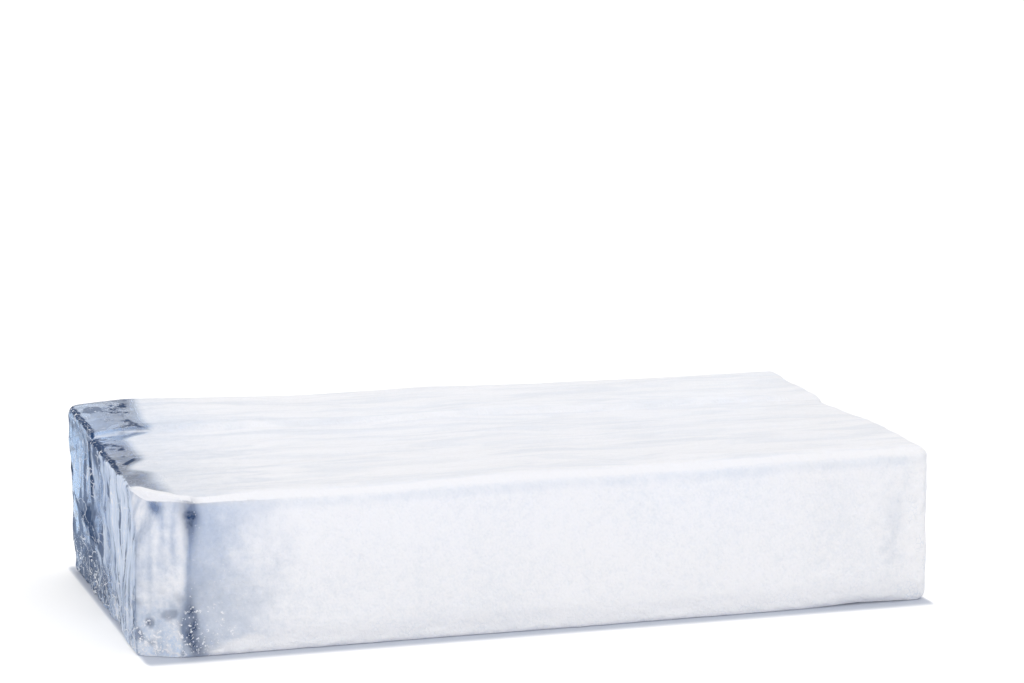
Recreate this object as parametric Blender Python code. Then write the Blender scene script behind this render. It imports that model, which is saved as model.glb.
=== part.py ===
"""A block of clear ice that has melted back a little all over: one solid, one node.

Metres, +Z up. X runs along the block and Y through its depth; the front is at -Y and the clear, fluted
end at -X. The origin is the middle of the flat base, on the surface the block rests on.
The block is a box primitive, cut into a fine grid, that melts in steps: its edges round off, flats
form on its corners, shallow scallops with sharp crests between them eat into each face, its top
settles out of level, and chips leave its edges. The grid is then thinned where it is flat, and the
base is sawn level.
"""

import math

import bmesh
import bpy
import numpy as np
from mathutils import Vector

# The block as it stands. It left its mould at 1.016 x 0.508 x 0.254 (40 x 20 x 10 in).
LENGTH = 1.013
DEPTH = 0.504
HEIGHT = 0.200

# The top is out of level: its height at the front left, front right, back left and back right.
TOP_FRONT_LEFT = 0.197
TOP_FRONT_RIGHT = 0.206
TOP_BACK_LEFT = 0.226
TOP_BACK_RIGHT = 0.220

SAWN_OFF = 0.004  # the base is cut this far above the bottom of the rounded box
CELL = 0.0055  # the grid before it is thinned
KEPT_SHARE = 0.085  # of the triangles, after thinning

# How round the edges have melted.
EDGE_RADIUS = 0.010
CRISP_TOP_RADIUS = 0.005  # the top edge over the fluted end
CORNER_RADIUS = 0.014  # the upright edges at the right and the back
UNDERCUT_RADIUS = 0.021  # the front's bottom edge, towards the right
UNDERCUT_FROM = 0.30

# Flats that melting or a knock has left, each as a point on it, the way it faces, and how softly it
# meets the faces beside it. They are cut before the top settles.
FLATS = {
    "corner facet": ((-0.5040, -0.216, 0.100), (-0.530, -0.846, 0.040), 0.0022),
    "corner facet, upper": ((-0.5040, -0.165, 0.196), (-0.820, -0.470, 0.300), 0.0022),
    "lip over the corner facet": ((-0.482, -0.230, 0.192), (-0.400, -0.500, 0.768), 0.0020),
    "front top edge": ((0.0, -0.250, 0.190), (0.0, -0.760, 0.650), 0.0015),
    "clear shoulder": ((-0.456, 0.0, 0.2005), (-0.090, 0.0, 0.996), 0.0008),
    "right top edge": ((0.5065, 0.0, 0.191), (0.690, 0.0, 0.724), 0.0030),
}

# The ledge on top, where the higher back half ends in a step that runs along the block.
LEDGE_Y = 0.071
LEDGE_DROP = 0.0055
LEDGE_RISE_OVER = 0.006
LEDGE_WANDER = 0.007

# The shell-shaped chip that has left the fluted end: its middle, half its width and height, and its
# depth. It stops short at a ridge that slants down from the top edge.
CHIP_MIDDLE = (0.088, 0.190)
CHIP_HALF = (0.172, 0.120)
CHIP_DEPTH = 0.0085
RIDGE_TOP = 0.082
RIDGE_SLANT = 0.16

# Chips knocked out of the edges: each is a dish, given as the middle and radius of its ball.
EDGE_DISHES = (
    ((0.5575, -0.300, 0.107), 0.0705),
    ((0.5650, 0.175, 0.243), 0.0850),
    ((0.2620, -0.295, 0.240), 0.0630),
    ((-0.1400, 0.299, 0.270), 0.0750),
    ((0.2900, 0.292, 0.264), 0.0670),
    ((-0.5510, 0.298, 0.060), 0.0700),
)

# Beds of scallops. Across and along are Y and Z on the ends, X and Y on top, X and Z on the sides.
END_FLUTES = {"seed": 4, "across": (-0.25, 0.25), "along": (0.0, 0.22), "pitch": (0.036, 0.13),
              "shake": 0.3, "depth": 0.0062}
END_FLAKES = {"seed": 9, "across": (-0.25, 0.25), "along": (0.0, 0.12), "pitch": (0.018, 0.042),
              "shake": 0.35, "depth": 0.0030}
RIGHT_BOWLS = {"seed": 12, "across": (-0.25, 0.25), "along": (0.0, 0.22), "pitch": (0.064, 0.058),
               "shake": 0.35, "depth": 0.0042}
TOP_STREAKS = {"seed": 21, "across": (-0.5, 0.5), "along": (-0.25, 0.25), "pitch": (0.21, 0.052),
               "shake": 0.35, "depth": 0.0030}
SIDE_HOLLOWS = {"seed": 33, "across": (-0.5, 0.5), "along": (0.0, 0.22), "pitch": (0.150, 0.110),
                "shake": 0.35, "depth": 0.0018}
FOOT_CRUMBS = {"seed": 41, "across": (-0.5, 0.5), "along": (-0.004, 0.022), "pitch": (0.030, 0.014),
               "shake": 0.35, "depth": 0.0030}
FADE = 0.045  # a face's melt fades out this far in from the face


def smooth_step(value, start, end):
    """0 before start, 1 after end, and a smooth S between them."""
    share = np.clip((value - start) / (end - start), 0.0, 1.0)
    return share * share * (3.0 - 2.0 * share)


def ripples(points, wavelength, seed, waves=16):
    """Smooth noise of about -1 to 1: sine waves of about one wavelength that cross in every direction."""
    source = np.random.RandomState(seed)
    ways = source.normal(size=(waves, 3))
    ways /= np.linalg.norm(ways, axis=1, keepdims=True)
    turns = 2.0 * math.pi / (wavelength * source.uniform(0.75, 1.35, waves))
    phases = source.uniform(0.0, 2.0 * math.pi, waves)
    return np.sin(points @ (ways * turns[:, None]).T + phases).sum(axis=1) / math.sqrt(waves)


def scallops(across, along, bed):
    """How deep a bed of scallops is: the deepest of many shallow bowls, so that sharp crests part them.

    Each bowl's depth is its own, times 1 less the squares of the distances from its middle, measured in
    its half width and half length. The middles lie on a shaken grid.
    """
    source = np.random.RandomState(bed["seed"])
    wide, long = bed["pitch"]
    (left, right), (low, high) = bed["across"], bed["along"]
    depth = np.zeros(len(across))
    for row in np.arange(low, high + long, long):
        shift = source.uniform(0.0, wide)
        for place in np.arange(left - wide, right + wide, wide):
            middle = place + shift + wide * bed["shake"] * source.uniform(-1.0, 1.0)
            level = row + long * bed["shake"] * source.uniform(-1.0, 1.0)
            half_wide, half_long = np.array((wide, long)) * source.uniform(0.75, 1.15, 2)
            deepest = bed["depth"] * source.uniform(0.5, 1.0)
            near = ((across - middle) / half_wide) ** 2 + ((along - level) / half_long) ** 2
            depth = np.maximum(depth, deepest * (1.0 - near))
    return depth


def edge_radius(points):
    """The radius that the edge nearest each point has melted to."""
    x, y, z = points.T
    upright = smooth_step(np.maximum(x, 0.0), 0.40, LENGTH / 2) + smooth_step(y, 0.15, DEPTH / 2)
    radius = EDGE_RADIUS + (CORNER_RADIUS - EDGE_RADIUS) * np.clip(upright, 0.0, 1.0)
    crisp = smooth_step(z, 0.14, HEIGHT) * smooth_step(-x, 0.42, 0.47) * smooth_step(-y, -0.25, -0.18)
    radius += (CRISP_TOP_RADIUS - radius) * crisp
    undercut = smooth_step(-z, -0.05, 0.0) * smooth_step(-y, 0.15, 0.24)
    undercut *= smooth_step(x, UNDERCUT_FROM, UNDERCUT_FROM + 0.12) * smooth_step(-x, -0.49, -0.44)
    return radius + (UNDERCUT_RADIUS - radius) * undercut


def round_edges(points):
    """Points on the box's surface, moved onto the rounded box.

    The radius is measured off the box to give an inner box. A point goes that radius out from the
    nearest point of the inner box.
    """
    low = np.array((-LENGTH / 2, -DEPTH / 2, -SAWN_OFF))
    high = np.array((LENGTH / 2, DEPTH / 2, HEIGHT))
    radius = edge_radius(points)[:, None]
    inner = np.clip(points, low + radius, high - radius)
    outward = points - inner
    return inner + outward * radius / np.linalg.norm(outward, axis=1, keepdims=True)


def cut_flats(points):
    """Pushes what stands out past each flat back onto it, softly, along the way the flat faces."""
    for place, way, softness in FLATS.values():
        way = np.array(way) / np.linalg.norm(way)
        past = (points - np.array(place)) @ way
        over = softness * np.logaddexp(0.0, past / softness)
        points = points - way * over[:, None]
    return points


def end_melt(y, z, wander):
    """The fluted end: long slanting flutes, finer flakes low down, and the chip beside its ridge."""
    leaning = y + 0.16 * (z - 0.1) + wander
    low_down = 1.0 - smooth_step(z, 0.06, 0.13)
    flutes = scallops(leaning, z, END_FLUTES)
    flakes = scallops(leaning, z, END_FLAKES) * low_down
    near = ((y - CHIP_MIDDLE[0]) / CHIP_HALF[0]) ** 2 + ((z - CHIP_MIDDLE[1]) / CHIP_HALF[1]) ** 2
    chip = CHIP_DEPTH * np.clip(1.15 * (1.0 - near), 0.0, 1.0) ** 0.8
    chip *= smooth_step(y - RIDGE_TOP + RIDGE_SLANT * (HEIGHT - z), 0.0, 0.009)
    chip *= 1.0 - 0.6 * smooth_step(z, 0.160, HEIGHT)
    melted = np.maximum(flutes, flakes) * (1.0 - 0.7 * smooth_step(z, 0.150, HEIGHT))
    melted = np.maximum(melted * (1.0 - 0.75 * smooth_step(chip, 0.0, 0.003)), chip)
    return melted * smooth_step(y - 0.075 * low_down, -0.235, -0.150)


def melt_faces(points):
    """Pushes each face straight in by its own melt, which fades out a little way in from the face."""
    x, y, z = points.T
    wander = 0.010 * ripples(points, 0.09, seed=2)
    broad = 0.0012 * (1.0 + ripples(points, 0.33, seed=5))

    fluted = end_melt(y, z, wander) + broad
    bowls = scallops(y + wander, z, RIGHT_BOWLS) + broad
    crumbs = scallops(x, z, FOOT_CRUMBS) * (1.0 - smooth_step(z, 0.012, 0.030))
    side = scallops(x, z, SIDE_HOLLOWS) + crumbs + broad
    ledge_at = LEDGE_Y + LEDGE_WANDER * ripples(points * (1.0, 0.0, 0.0), 0.22, seed=7)
    ledge = LEDGE_DROP * (0.5 - smooth_step(y, ledge_at, ledge_at + LEDGE_RISE_OVER))
    top = scallops(x, y + 0.5 * wander, TOP_STREAKS) + ledge + broad

    from_left, from_right = x + LENGTH / 2, LENGTH / 2 - x
    from_front, from_back = y + DEPTH / 2, DEPTH / 2 - y
    new_x = x + fluted * (1.0 - smooth_step(from_left, 0.0, FADE))
    new_x = new_x - bowls * (1.0 - smooth_step(from_right, 0.0, FADE))
    new_y = y + side * (1.0 - smooth_step(from_front, 0.0, FADE))
    new_y = new_y - side * (1.0 - smooth_step(from_back, 0.0, FADE))
    new_z = z - top * (1.0 - smooth_step(HEIGHT - z, 0.0, FADE))
    return np.column_stack((new_x, new_y, new_z))


def settle_top(points):
    """Stretches the block upwards to the height its top has at each place."""
    x, y, z = points.T
    right = np.clip(x / LENGTH + 0.5, 0.0, 1.0)
    back = np.clip(y / DEPTH + 0.5, 0.0, 1.0)
    front_height = TOP_FRONT_LEFT + (TOP_FRONT_RIGHT - TOP_FRONT_LEFT) * right
    back_height = TOP_BACK_LEFT + (TOP_BACK_RIGHT - TOP_BACK_LEFT) * right
    top = front_height + (back_height - front_height) * back
    return np.column_stack((x, y, np.where(z > 0.0, z * top / HEIGHT, z)))


def knock_chips(points):
    """Moves what lies inside each dish's ball out to the ball's surface."""
    for middle, radius in EDGE_DISHES:
        away = points - np.array(middle)
        far = np.linalg.norm(away, axis=1, keepdims=True)
        points = np.where(far < radius, np.array(middle) + away * radius / far, points)
    return points


def fill_the_box(points):
    """Stretches the block a little sideways, so that its furthest points are its stated size apart."""
    low, high = points.min(axis=0)[:2], points.max(axis=0)[:2]
    size = np.array((LENGTH, DEPTH))
    share = (points[:, :2] - low) / (high - low)
    return np.column_stack(((share - 0.5) * size, points[:, 2]))


def melt(points):
    """The whole melt, from points on a plain box to the block's surface."""
    points = melt_faces(cut_flats(round_edges(points)))
    return fill_the_box(knock_chips(settle_top(points)))


def ice_material():
    material = bpy.data.materials.new("clear ice")
    material.use_nodes = True
    shader = material.node_tree.nodes["Principled BSDF"]
    shader.inputs["Base Color"].default_value = (0.86, 0.92, 0.97, 1.0)
    shader.inputs["Roughness"].default_value = 0.12
    shader.inputs["Metallic"].default_value = 0.0
    shader.inputs["IOR"].default_value = 1.31
    shader.inputs["Transmission Weight"].default_value = 1.0
    return material


def gridded_box():
    """A cube primitive stretched to the box, with its edges divided along each axis in turn."""
    size = Vector((LENGTH, DEPTH, HEIGHT + SAWN_OFF))
    mesh = bmesh.new()
    bmesh.ops.create_cube(mesh, size=1.0)
    bmesh.ops.scale(mesh, vec=size, verts=mesh.verts)
    bmesh.ops.translate(mesh, vec=(0.0, 0.0, size.z / 2 - SAWN_OFF), verts=mesh.verts)
    for axis in range(3):
        along = [e for e in mesh.edges if abs((e.verts[1].co - e.verts[0].co)[axis]) > size[axis] / 2]
        cuts = round(size[axis] / CELL) - 1
        bmesh.ops.subdivide_edges(mesh, edges=along, cuts=cuts, use_grid_fill=True)
    return mesh


def saw_base(mesh):
    """Cuts the block level at z = 0 and closes the cut with one flat face."""
    everything = mesh.verts[:] + mesh.edges[:] + mesh.faces[:]
    bmesh.ops.bisect_plane(mesh, geom=everything, dist=1e-6, plane_co=(0.0, 0.0, 0.0),
                           plane_no=(0.0, 0.0, 1.0), clear_inner=True)
    rim = [edge for edge in mesh.edges if edge.is_boundary]
    for vert in {vert for edge in rim for vert in edge.verts}:
        vert.co.z = 0.0
    bmesh.ops.contextual_create(mesh, geom=rim)
    bmesh.ops.triangulate(mesh, faces=mesh.faces[:])
    bmesh.ops.recalc_face_normals(mesh, faces=mesh.faces[:])


def thinned(block):
    """The block's mesh with its flat stretches collapsed to large triangles."""
    thinning = block.modifiers.new("Thin the flat stretches", "DECIMATE")
    thinning.decimate_type = "COLLAPSE"
    thinning.ratio = KEPT_SHARE
    thinning.use_collapse_triangulate = True
    graph = bpy.context.evaluated_depsgraph_get()
    mesh = bpy.data.meshes.new_from_object(block.evaluated_get(graph))
    block.modifiers.remove(thinning)
    return mesh


def build_ice_block(collection):
    grid = gridded_box()
    points = np.array([vert.co[:] for vert in grid.verts])
    for vert, place in zip(grid.verts, melt(points)):
        vert.co = place
    mesh = bpy.data.meshes.new("ice_block")
    grid.to_mesh(mesh)
    grid.free()
    block = bpy.data.objects.new("ice_block", mesh)
    collection.objects.link(block)
    block.data = thinned(block)
    sawn = bmesh.new()
    sawn.from_mesh(block.data)
    saw_base(sawn)
    sawn.to_mesh(block.data)
    sawn.free()
    block.data.shade_smooth()
    block.data.set_sharp_from_angle(angle=math.radians(30.0))
    block.data.materials.clear()
    block.data.materials.append(ice_material())
    return block


def main():
    for old in list(bpy.data.objects):
        bpy.data.objects.remove(old)
    collection = bpy.data.collections.new("Ice block")
    bpy.context.scene.collection.children.link(collection)
    build_ice_block(collection)


main()
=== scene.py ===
# %% [markdown]
# # A block of clear ice
# The packed model is loaded first and stays as it is. Everything below measures from its box, so the
# fine surface that is made here can't drift away from the solid it stands for.

# %% The packed model and its box
import math
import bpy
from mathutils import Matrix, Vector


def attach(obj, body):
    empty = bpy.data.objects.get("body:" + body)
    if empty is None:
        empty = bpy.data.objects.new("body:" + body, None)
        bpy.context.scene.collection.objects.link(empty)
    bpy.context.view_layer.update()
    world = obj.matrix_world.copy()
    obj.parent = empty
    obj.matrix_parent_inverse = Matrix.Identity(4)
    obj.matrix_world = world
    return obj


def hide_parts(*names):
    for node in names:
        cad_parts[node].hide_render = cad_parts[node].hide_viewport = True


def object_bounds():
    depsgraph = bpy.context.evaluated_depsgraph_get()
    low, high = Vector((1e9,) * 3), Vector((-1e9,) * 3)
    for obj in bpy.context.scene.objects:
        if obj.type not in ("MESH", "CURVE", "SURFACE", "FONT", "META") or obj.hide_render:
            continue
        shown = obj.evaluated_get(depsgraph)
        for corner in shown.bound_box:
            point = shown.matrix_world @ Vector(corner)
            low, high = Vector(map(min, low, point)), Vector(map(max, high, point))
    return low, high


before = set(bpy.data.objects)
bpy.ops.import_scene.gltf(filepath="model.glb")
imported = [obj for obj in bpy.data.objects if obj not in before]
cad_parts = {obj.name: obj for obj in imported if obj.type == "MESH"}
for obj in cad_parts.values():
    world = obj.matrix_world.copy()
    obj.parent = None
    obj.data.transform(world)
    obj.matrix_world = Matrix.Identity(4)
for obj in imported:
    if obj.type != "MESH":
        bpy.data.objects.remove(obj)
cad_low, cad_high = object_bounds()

from types import SimpleNamespace

import bpy
import numpy as np

scene = bpy.context.scene
print("packed box", [round(v, 4) for v in cad_low], [round(v, 4) for v in cad_high])

# %% [markdown]
# ## The block, before it melts
# A block like this leaves its mould as a plain box. It could be cut from a cube with modifiers, but ice
# melts by depth: each face loses a little here and more there. So the box is a lattice of points, and
# the melt is a chain of functions that each take all the points at once and move them. The points lie
# closest at the clear end and along the edges, where the light bends most.

# %% Sizes and the lattice's stations
LENGTH, DEPTH, HEIGHT = 1.013, 0.504, 0.200
SAWN_OFF = 0.004  # how far the box goes on below the ground, where it melts flat
CELLS_LONG, CELLS_DEEP, CELLS_HIGH = 236, 150, 68
SUM_STEPS = 4001
# How much more crowded the stations are at the low end and at the high end, and over what reach.
CROWDED_ALONG = (2.2, 1.0, 0.045)
CROWDED_ACROSS = (1.0, 0.8, 0.020)
CROWDED_UPWARD = (1.5, 1.2, 0.016)


def stations(low, high, cells, fine_low, fine_high, reach):
    """cells + 1 places from low to high, crowded near the ends.

    The crowding at a place is 1 plus fine_low times e to the minus (distance from low over reach), plus
    the same from high. The places share its running total equally.
    """
    fine = np.linspace(low, high, SUM_STEPS)
    crowd = 1.0 + fine_low * np.exp(-(fine - low) / reach) + fine_high * np.exp(-(high - fine) / reach)
    total = np.concatenate(((0.0,), np.cumsum((crowd[1:] + crowd[:-1]) / 2.0)))
    return np.interp(np.linspace(0.0, total[-1], cells + 1), total, fine)


along = stations(-LENGTH / 2, LENGTH / 2, CELLS_LONG, *CROWDED_ALONG)
across = stations(-DEPTH / 2, DEPTH / 2, CELLS_DEEP, *CROWDED_ACROSS)
upward = stations(-SAWN_OFF, HEIGHT, CELLS_HIGH, *CROWDED_UPWARD)
print("cells along, in mm: from", np.diff(along).min() * 1000, "to", np.diff(along).max() * 1000)

# %% The box's faces as grids that share their edges
X, Y, Z = range(3)


def box_grid(fixed, level, flip):
    """One face of the box as a grid of lattice indices: axis fixed stays at level, the other two run."""
    counts = [CELLS_LONG + 1, CELLS_DEEP + 1, CELLS_HIGH + 1]
    u_axis, v_axis = [axis for axis in (X, Y, Z) if axis != fixed]
    u, v = np.meshgrid(np.arange(counts[u_axis]), np.arange(counts[v_axis]), indexing="ij")
    grid = np.empty(u.shape + (3,), int)
    grid[..., u_axis], grid[..., v_axis], grid[..., fixed] = u, v, level
    return grid[::-1] if flip else grid


def quads_of(index):
    """The four corners of each cell of a grid of point numbers, anticlockwise."""
    corners = (index[:-1, :-1], index[1:, :-1], index[1:, 1:], index[:-1, 1:])
    return np.stack(corners, axis=-1).reshape(-1, 4)


faces_of_box = [box_grid(Z, CELLS_HIGH, False), box_grid(X, 0, True), box_grid(X, CELLS_LONG, False),
                box_grid(Y, 0, False), box_grid(Y, CELLS_DEEP, True)]
lattice = np.concatenate([grid.reshape(-1, 3) for grid in faces_of_box])
lattice, numbers = np.unique(lattice, axis=0, return_inverse=True)
numbers = numbers.reshape(-1)
box_points = np.column_stack((along[lattice[:, X]], across[lattice[:, Y]], upward[lattice[:, Z]]))
quads, start = [], 0
for grid in faces_of_box:
    count = grid.shape[0] * grid.shape[1]
    quads.append(quads_of(numbers[start:start + count].reshape(grid.shape[:2])))
    start += count
quads = np.concatenate(quads)
print(len(box_points), "points and", len(quads), "quads")

# %% [markdown]
# ## How ice melts
# Melting ice rounds its edges, and running water and warm air eat shallow scallops into its faces, with
# sharp crests between them. One scallop is a bowl; a bed of scallops is the deepest of many bowls at
# each point, which leaves just such crests. A plain noise texture would give soft hills instead.

# %% Rises, falls, humps and ripples
RIPPLE_SPREAD = (0.75, 1.35)  # a wave's length, as a share of the wavelength asked for


def rise(value, start, end):
    """0 before start, 1 after end, and 3 s squared less 2 s cubed between them."""
    share = np.clip((value - start) / (end - start), 0.0, 1.0)
    return share * share * (3.0 - 2.0 * share)


def fall(value, start, end):
    """1 before start and 0 after end: the rise of minus value."""
    return rise(-value, -end, -start)


def hump(value, middle, half):
    """A bell of height 1 at middle: e to the minus square of (the distance over half)."""
    return np.exp(-((value - middle) / half) ** 2)


def ripples(points, wavelength, seed, waves=16):
    """Smooth noise of about -1 to 1: sine waves of about one wavelength that cross in every direction."""
    source = np.random.RandomState(seed)
    ways = source.normal(size=(waves, 3))
    ways /= np.linalg.norm(ways, axis=1, keepdims=True)
    turns = 2.0 * math.pi / (wavelength * source.uniform(*RIPPLE_SPREAD, waves))
    phases = source.uniform(0.0, 2.0 * math.pi, waves)
    return np.sin(points @ (ways * turns[:, None]).T + phases).sum(axis=1) / math.sqrt(waves)


print("a rise at quarter steps:", rise(np.linspace(0.0, 1.0, 5), 0.0, 1.0))

# %% Beds of scallops
OVER_LENGTH, OVER_DEPTH, UP = (-0.5, 0.5), (-0.25, 0.25), (0.0, 0.22)
SIZE_SPREAD, DEPTH_SPREAD = (0.75, 1.15), (0.5, 1.0)  # one bowl's, as shares of its bed's
BEDS = {
    # name: seed, where it runs across and along, a bowl's width and length, shake, depth
    "end flutes": (4, OVER_DEPTH, UP, (0.036, 0.13), 0.3, 0.0062),
    "end flakes": (9, OVER_DEPTH, (0.0, 0.12), (0.018, 0.042), 0.35, 0.0030),
    "end runnels": (51, OVER_DEPTH, UP, (0.031, 0.036), 0.4, 0.0038),
    "end dimples": (52, OVER_DEPTH, (0.0, 0.14), (0.021, 0.016), 0.4, 0.0022),
    "right bowls": (12, OVER_DEPTH, UP, (0.064, 0.058), 0.35, 0.0042),
    "right chips": (53, OVER_DEPTH, UP, (0.022, 0.024), 0.4, 0.0020),
    "top streaks": (21, OVER_LENGTH, OVER_DEPTH, (0.21, 0.052), 0.35, 0.0030),
    "top scratches": (54, OVER_LENGTH, OVER_DEPTH, (0.085, 0.017), 0.4, 0.0009),
    "side hollows": (33, OVER_LENGTH, UP, (0.150, 0.110), 0.35, 0.0018),
    "side pits": (55, OVER_LENGTH, UP, (0.030, 0.026), 0.4, 0.0007),
    "foot crumbs": (41, OVER_LENGTH, (-0.004, 0.022), (0.030, 0.014), 0.35, 0.0018),
    "foot grains": (56, OVER_LENGTH, (-0.004, 0.020), (0.013, 0.008), 0.45, 0.0012),
    "corner crystals": (57, (0.42, 0.51), UP, (0.013, 0.016), 0.45, 0.0026),
}


def scallops(name, across_at, along_at):
    """How deep a bed of scallops is: the deepest of many shallow bowls.

    Each bowl's depth is its own, times 1 less the squares of the distances from its middle, measured in
    its half width and half length. The middles lie on a grid, each moved by up to shake of a step.
    """
    seed, (left, right), (low, high), (wide, long), shake, bed_depth = BEDS[name]
    source = np.random.RandomState(seed)
    depth = np.zeros(len(across_at))
    for row in np.arange(low, high + long, long):
        shift = source.uniform(0.0, wide)
        for place in np.arange(left - wide, right + wide, wide):
            middle = place + shift + wide * shake * source.uniform(-1.0, 1.0)
            level = row + long * shake * source.uniform(-1.0, 1.0)
            half_wide, half_long = np.array((wide, long)) * source.uniform(*SIZE_SPREAD, 2)
            deepest = bed_depth * source.uniform(*DEPTH_SPREAD)
            near = ((across_at - middle) / half_wide) ** 2 + ((along_at - level) / half_long) ** 2
            depth = np.maximum(depth, deepest * (1.0 - near))
    return depth


print("beds, deepest in mm:", {name: row[-1] * 1000 for name, row in BEDS.items()})

# %% [markdown]
# ## Edges and flats
# The edges have melted to different radii: crisp along the top of the clear end, softer at the right,
# and undercut where meltwater ran under the front. A rounded box is the inner box of each point plus its
# radius outwards. The knocked corner is two flats that push what stands past them back in.

# %% Rounded edges
EDGE_RADIUS = 0.010
CRISP_TOP_RADIUS = 0.008
CORNER_RADIUS = 0.014
UNDERCUT_RADIUS = 0.021
# Where the radius changes from one to the other, in metres: along the block, across it, and upwards.
RIGHT_SOFTENS, BACK_SOFTENS = (0.40, LENGTH / 2), (0.15, DEPTH / 2)
CRISP_X, CRISP_Y, CRISP_Z = (-0.47, -0.42), (0.18, 0.25), (0.14, HEIGHT)
UNDERCUT_STARTS, UNDERCUT_ENDS = (0.30, 0.42), (0.44, 0.49)
UNDERCUT_Y, UNDERCUT_Z = (-0.24, -0.15), (0.0, 0.05)


def edge_radius(points):
    """The radius that the edge nearest each point has melted to."""
    x, y, z = points.T
    upright = rise(np.maximum(x, 0.0), *RIGHT_SOFTENS) + rise(y, *BACK_SOFTENS)
    radius = EDGE_RADIUS + (CORNER_RADIUS - EDGE_RADIUS) * np.clip(upright, 0.0, 1.0)
    crisp = fall(x, *CRISP_X) * fall(y, *CRISP_Y) * rise(z, *CRISP_Z)
    radius += (CRISP_TOP_RADIUS - radius) * crisp
    undercut = rise(x, *UNDERCUT_STARTS) * fall(x, *UNDERCUT_ENDS)
    undercut *= fall(y, *UNDERCUT_Y) * fall(z, *UNDERCUT_Z)
    return radius + (UNDERCUT_RADIUS - radius) * undercut


def round_edges(points):
    """Each point goes its radius out from the nearest point of the box that lies that radius inside."""
    low = np.array((-LENGTH / 2, -DEPTH / 2, -SAWN_OFF))
    high = np.array((LENGTH / 2, DEPTH / 2, HEIGHT))
    radius = edge_radius(points)[:, None]
    inner = np.clip(points, low + radius, high - radius)
    outward = points - inner
    return inner + outward * radius / np.linalg.norm(outward, axis=1, keepdims=True)


rounded = round_edges(box_points)
radii = edge_radius(box_points) * 1000
print("edge radii from", radii.min().round(1), "to", radii.max().round(1), "mm")

# %% The knocked corner and the bevelled top edges
FLATS = {
    # name: a point on it, the way it faces, how softly it meets the rest
    "corner facet": ((-0.5040, -0.216, 0.100), (-0.530, -0.846, 0.040), 0.0022),
    "corner facet, upper": ((-0.5040, -0.165, 0.196), (-0.820, -0.470, 0.300), 0.0022),
    "lip over the corner facet": ((-0.482, -0.230, 0.192), (-0.400, -0.500, 0.768), 0.0020),
    "front top edge": ((0.0, -0.250, 0.190), (0.0, -0.760, 0.650), 0.0015),
    "clear shoulder": ((-0.456, 0.0, 0.2005), (-0.090, 0.0, 0.996), 0.0008),
    "right top edge": ((0.5065, 0.0, 0.191), (0.690, 0.0, 0.724), 0.0030),
}


def past_flat(points, name):
    """How far points stand past one of the flats, and the unit vector that it faces along."""
    place, way, _ = FLATS[name]
    way = np.array(way) / np.linalg.norm(way)
    return (points - np.array(place)) @ way, way


def cut_flats(points):
    """Moves a point back by softness times the log of 1 plus e to (its distance past over softness)."""
    for name, (_, _, softness) in FLATS.items():
        past, way = past_flat(points, name)
        over = softness * np.logaddexp(0.0, past / softness)
        points = points - way * over[:, None]
    return points


flattened = cut_flats(rounded)
print("the flats push back up to", np.round(np.abs(flattened - rounded).max() * 1000, 1), "mm")

# %% [markdown]
# ## What each face has lost
# The clear end is fluted by water that ran down it, with a shell-shaped chip beside a slanting ridge.
# The top has long streaks and a ledge that runs along the block. The front is nearly flat and crumbles
# at its foot and at its far corner. Carving would need a tool for each mark, but all that melting does to
# a face is to take a depth off it. So a face's melt is one depth per point: its beds of scallops added
# up, or the deepest of them. The coarse beds are in the solid too.

# %% The chip and the ridge
CHIP_MIDDLE, CHIP_HALF, CHIP_DEPTH = (0.088, 0.190), (0.172, 0.120), 0.0085
CHIP_FULLNESS, CHIP_POWER = 1.15, 0.8  # its floor is wider and its wall steeper than a ball's
CHIP_SHALLOWS, CHIP_DEEP_ENOUGH = (0.160, HEIGHT), (0.0, 0.003)
RIDGE_TOP, RIDGE_SLANT, RIDGE_WIDTH = 0.082, 0.16, 0.009


def chip_rim(y, z):
    """1 on the chip's rim, less inside: the distance from its middle, measured in its half sizes."""
    return np.hypot((y - CHIP_MIDDLE[0]) / CHIP_HALF[0], (z - CHIP_MIDDLE[1]) / CHIP_HALF[1])


def ridge_line(z):
    """Where the ridge beside the chip stands at each height."""
    return RIDGE_TOP - RIDGE_SLANT * (HEIGHT - z)


print("the ridge leans from y", ridge_line(0.0), "to", ridge_line(HEIGHT))

# %% The clear end
PROUD_AT, PROUD_HALF, PROUD_ABOVE = -0.004, 0.012, (0.05, 0.09)
FLUTES_LEAN, RUNNELS_LEAN = 0.16, 0.15  # sideways per metre of height
LOW_DOWN, UNDER_THE_TOP = (0.06, 0.13), (0.150, HEIGHT)
SMOOTH_NEAR_CORNER, SMOOTHER_LOW_DOWN = (-0.235, -0.150), 0.075


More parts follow.
